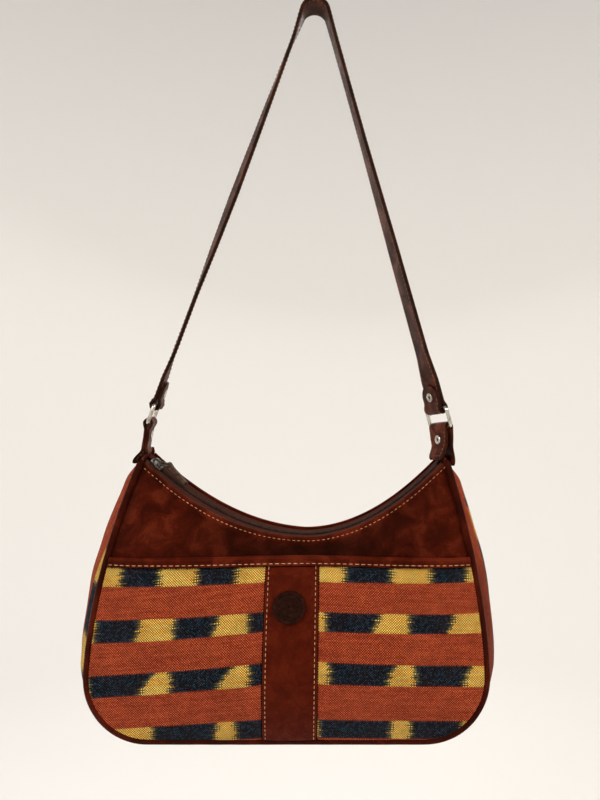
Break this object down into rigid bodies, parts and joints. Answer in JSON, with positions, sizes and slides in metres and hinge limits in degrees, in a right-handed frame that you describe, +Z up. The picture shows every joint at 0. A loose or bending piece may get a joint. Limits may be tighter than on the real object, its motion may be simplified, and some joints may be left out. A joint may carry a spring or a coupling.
{
  "type": "shoulder bag",
  "caption": "Hobo shoulder bag of brown leather with an ikat-striped cloth front pocket and gusset, a scooped zip top and a leather strap on metal rings, hung by the strap.",
  "frame": {"origin": "underside of the strap at the top of its loop, where a hook bears", "axes": "+Z up along the hanging bag, +Y from the front to the back through its depth, +X to the right of someone facing the front"},
  "size_m": [0.3296, 0.0872, 0.5831],
  "materials": {
    "leather": "waxed mottled reddish-brown leather",
    "piping_leather": "dark red-brown leather piping",
    "strap_leather": "dark brown leather, stitched edges",
    "badge_leather": "dark pressed leather",
    "ikat_cloth": "hand-woven ikat, orange ground with yellow and navy bands",
    "zip_tape": "brown woven zip tape",
    "zip_coil": "dark brown coil",
    "slider_metal": "dull gunmetal",
    "nickel": "worn nickel"
  },
  "bodies": {
    "bag": {"front_panel": "leather", "back_panel": "leather", "piping_front": "piping_leather", "piping_back": "piping_leather", "gusset": "ikat_cloth", "pocket_cloth_left": "ikat_cloth", "pocket_cloth_right": "ikat_cloth", "pocket_strip": "leather", "pocket_binding": "leather", "badge": "badge_leather", "zip_tape_front": "zip_tape", "zip_tape_back": "zip_tape", "zip_coil": "zip_coil", "zip_slider": "slider_metal", "ring_left": "nickel", "ring_right": "nickel", "tab_left": "leather", "tab_right": "leather", "tab_eyelet_left": "nickel", "tab_eyelet_right": "nickel", "strap_eyelet_left": "nickel", "strap_eyelet_right": "nickel", "strap": "strap_leather"},
    "zip_pull": {"zip_pull_loop": "slider_metal", "zip_pull_tab": "strap_leather"}
  },
  "joints": [
    {"name": "zip_pull_swing", "type": "hinge", "parent": "bag", "child": "zip_pull", "pos_m": [-0.1262, -0.00076, -0.36879], "axis": [-0.1675, -0.9683, -0.1853], "range_deg": [0, 115]}
  ]
}
